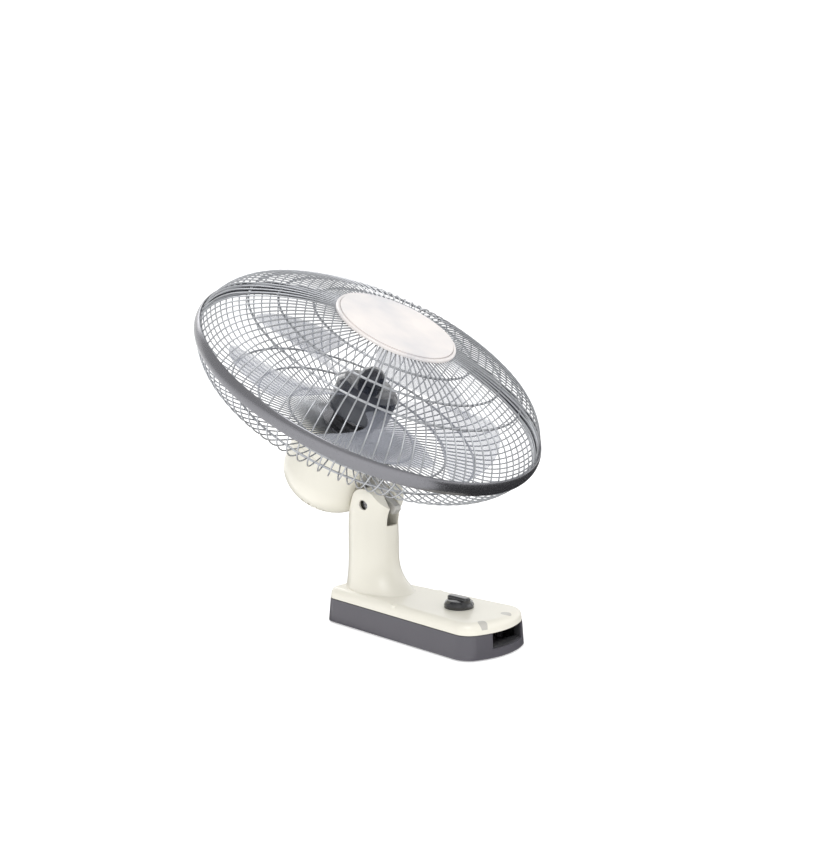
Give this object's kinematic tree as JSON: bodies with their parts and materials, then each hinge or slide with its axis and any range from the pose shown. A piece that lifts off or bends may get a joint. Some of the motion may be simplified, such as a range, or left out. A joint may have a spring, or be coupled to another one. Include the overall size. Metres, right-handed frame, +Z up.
{
  "type": "desk fan",
  "caption": "Oscillating caged desk fan with a tilting head, clear blades, a plain round badge and a long rounded base with one rotary knob.",
  "frame": {"origin": "on the table, under the axis of the neck, on the sole of the middle foot pad", "axes": "+Z up, -Y towards the front of the base, +X to the fan's right as seen by someone facing it from the front"},
  "size_m": [0.4353, 0.4088, 0.4114],
  "materials": {
    "ivory_plastic": "smooth satin gloss",
    "dark_plastic": "satin",
    "rubber": "matt",
    "steel": "plain",
    "cast_iron": "rough",
    "black_plastic": "matt",
    "nylon": "matt",
    "painted_steel": "satin",
    "motor_alloy": "as cast",
    "laminations": "satin",
    "copper": "varnished",
    "bronze": "plain",
    "cage_wire": "silver satin",
    "silver_grey": "silver satin",
    "pearl": "pearl",
    "smoke_clear": "clear, smoke tinted",
    "hub_smoke": "deep smoke, glossy"
  },
  "bodies": {
    "base": {"base_tray": "dark_plastic", "base_cover": "ivory_plastic", "front_pocket": "dark_plastic", "rubber_feet": "rubber", "base_screws": "steel", "cord_inlet_bush": "rubber", "base_weight": "cast_iron", "rotary_switch": "black_plastic", "switch_plate": "steel", "run_capacitor": "black_plastic", "terminal_block": "nylon", "pivot_bosses": "nylon", "tilt_screw": "steel", "tilt_nut": "steel", "tilt_washers": "black_plastic"},
    "knob": {"speed_knob": "dark_plastic", "switch_shaft": "steel"},
    "bracket": {"swivel_bracket": "painted_steel", "swivel_pin": "steel", "swivel_clip": "steel", "link_stud": "steel"},
    "head": {"motor_rear_cover": "ivory_plastic", "motor_front_cover": "ivory_plastic", "motor_frame": "motor_alloy", "rear_bell": "motor_alloy", "stator_core": "laminations", "stator_coils": "copper", "frame_bolts": "steel", "shaft_bushes": "bronze", "gear_case": "dark_plastic", "front_wires": "cage_wire", "rear_wires": "cage_wire", "front_rings": "cage_wire", "rear_rings": "cage_wire", "rim_belt": "silver_grey", "front_plate": "pearl", "badge": "pearl", "rear_plate": "silver_grey", "cage_nut": "dark_plastic"},
    "rotor": {"rotor_core": "laminations", "rotor_shaft": "steel", "drive_pin": "steel", "fan_hub": "hub_smoke", "fan_blades": "smoke_clear", "spinner_nut": "dark_plastic"},
    "spindle": {"worm_wheel": "nylon", "gear_spindle": "steel"},
    "crank": {"crank_gear": "nylon"},
    "link": {"swing_link": "steel"},
    "clutch_knob": {"swing_knob": "ivory_plastic"}
  },
  "joints": [
    {"name": "knob_turn", "type": "hinge", "parent": "base", "child": "knob", "pos_m": [0, -0.133, 0.05], "axis": [0, 0, -1], "range_deg": [0, 135]},
    {"name": "head_tilt", "type": "hinge", "parent": "base", "child": "bracket", "pos_m": [0, -0.009, 0.1463], "axis": [1, 0, 0], "range_deg": [0, 38]},
    {"name": "head_swing", "type": "hinge", "parent": "bracket", "child": "head", "pos_m": [0, -0.02062, 0.16844], "axis": [0, 0.8854, 0.4648], "range_deg": [-36.3, 27.7]},
    {"name": "rotor_spin", "type": "hinge", "parent": "head", "child": "rotor", "pos_m": [0, 0.05092, 0.20599], "axis": [0.075, -0.4635, 0.8829], "continuous": true},
    {"name": "wheel_spin", "type": "hinge", "parent": "head", "child": "spindle", "pos_m": [0.01027, 0.03871, 0.14148], "axis": [0, 0.8854, 0.4648], "continuous": true},
    {"name": "crank_turn", "type": "hinge", "parent": "head", "child": "crank", "pos_m": [-0.003, 0.02448, 0.14706], "axis": [0, 0.8854, 0.4648], "continuous": true},
    {"name": "link_swing", "type": "hinge", "parent": "bracket", "child": "link", "pos_m": [0.017, 0.00063, 0.17959], "axis": [0, 0.8854, 0.4648], "range_deg": [-31, 24]},
    {"name": "knob_pull", "type": "slide", "parent": "head", "child": "clutch_knob", "axis": [0, 0.8854, 0.4648], "range_m": [0, 0.007]}
  ],
  "couplings": [
    {"joint": "wheel_spin", "follows": "rotor_spin", "ratio": -0.041667},
    {"joint": "crank_turn", "follows": "rotor_spin", "ratio": 0.012255},
    {"joint": "link_swing", "follows": "head_swing", "ratio": 0.847}
  ]
}
